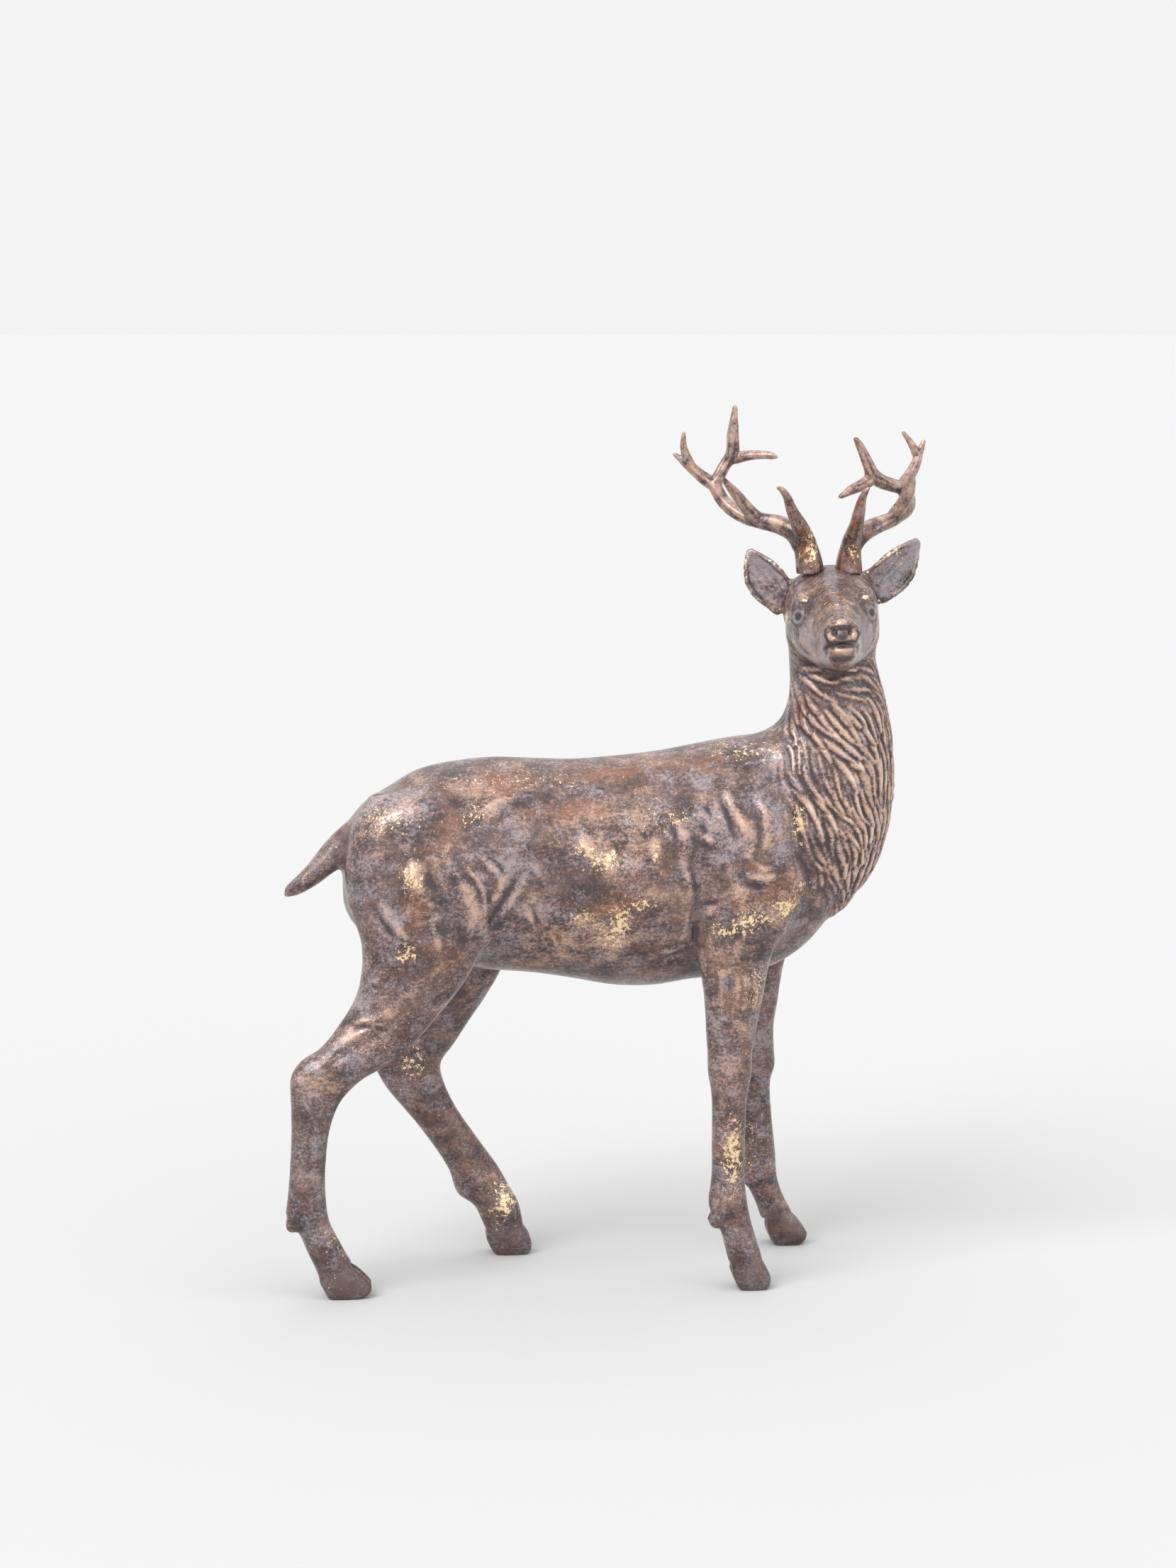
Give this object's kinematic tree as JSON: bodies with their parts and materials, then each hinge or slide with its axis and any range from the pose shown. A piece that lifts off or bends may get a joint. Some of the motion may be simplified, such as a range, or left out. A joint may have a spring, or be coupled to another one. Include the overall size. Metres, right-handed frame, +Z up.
{
  "type": "stag figurine",
  "caption": "Standing stag figurine, head turned to its right, carved mane, branching antlers set in the head, antique bronze finish with gold flecks.",
  "frame": {"origin": "on the floor, under the middle of the whole figurine", "axes": "+Z up, +X the way the body faces, +Y the stag's left side"},
  "size_m": [0.3413, 0.1376, 0.4583],
  "materials": {
    "bronze_finish": "satin",
    "antler_finish": "satin"
  },
  "bodies": {
    "root": {"figure": "bronze_finish", "right_antler": "antler_finish", "left_antler": "antler_finish"}
  },
  "joints": []
}
